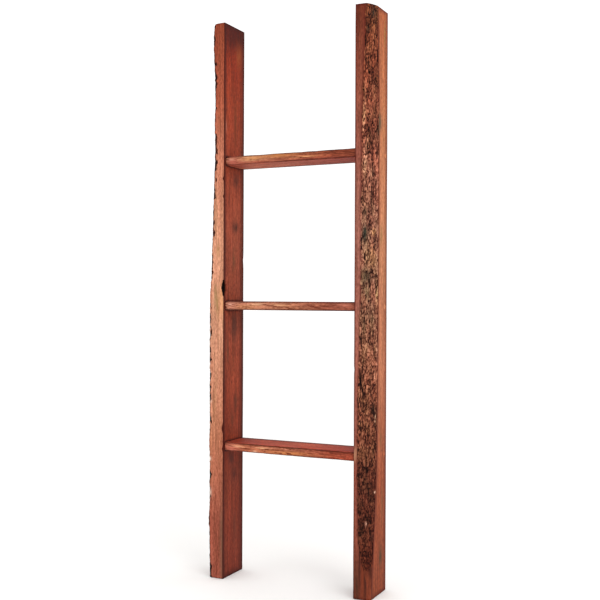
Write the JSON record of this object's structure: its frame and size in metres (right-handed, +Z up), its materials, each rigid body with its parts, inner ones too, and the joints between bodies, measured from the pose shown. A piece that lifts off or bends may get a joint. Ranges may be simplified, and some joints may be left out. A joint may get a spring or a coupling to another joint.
{
  "type": "quilt ladder",
  "caption": "Rustic leaning quilt ladder of stained reclaimed boards with live-edge stiles and flat rungs to hang folded blankets over.",
  "frame": {"origin": "on the floor, at the middle of the ladder's width and depth", "axes": "+Z up along the stiles, +X across the ladder to the right stile, -Y out of the front"},
  "size_m": [0.384, 0.089, 1.219],
  "materials": {
    "stile_wood": "satin red-brown stain on sawn wood, with bark left on the wane",
    "rung_wood": "satin red-brown stain on weathered board",
    "plug_wood": "satin red-brown stain, sanded flush",
    "screw_steel": "zinc plated"
  },
  "bodies": {
    "root": {"stile_left": "stile_wood", "stile_right": "stile_wood", "rung_bottom": "rung_wood", "screw_bottom_left_front": "screw_steel", "plug_bottom_left_front": "plug_wood", "screw_bottom_left_back": "screw_steel", "plug_bottom_left_back": "plug_wood", "screw_bottom_right_front": "screw_steel", "plug_bottom_right_front": "plug_wood", "screw_bottom_right_back": "screw_steel", "plug_bottom_right_back": "plug_wood", "rung_middle": "rung_wood", "screw_middle_left_front": "screw_steel", "plug_middle_left_front": "plug_wood", "screw_middle_left_back": "screw_steel", "plug_middle_left_back": "plug_wood", "screw_middle_right_front": "screw_steel", "plug_middle_right_front": "plug_wood", "screw_middle_right_back": "screw_steel", "plug_middle_right_back": "plug_wood", "rung_top": "rung_wood", "screw_top_left_front": "screw_steel", "plug_top_left_front": "plug_wood", "screw_top_left_back": "screw_steel", "plug_top_left_back": "plug_wood", "screw_top_right_front": "screw_steel", "plug_top_right_front": "plug_wood", "screw_top_right_back": "screw_steel", "plug_top_right_back": "plug_wood"}
  },
  "joints": []
}
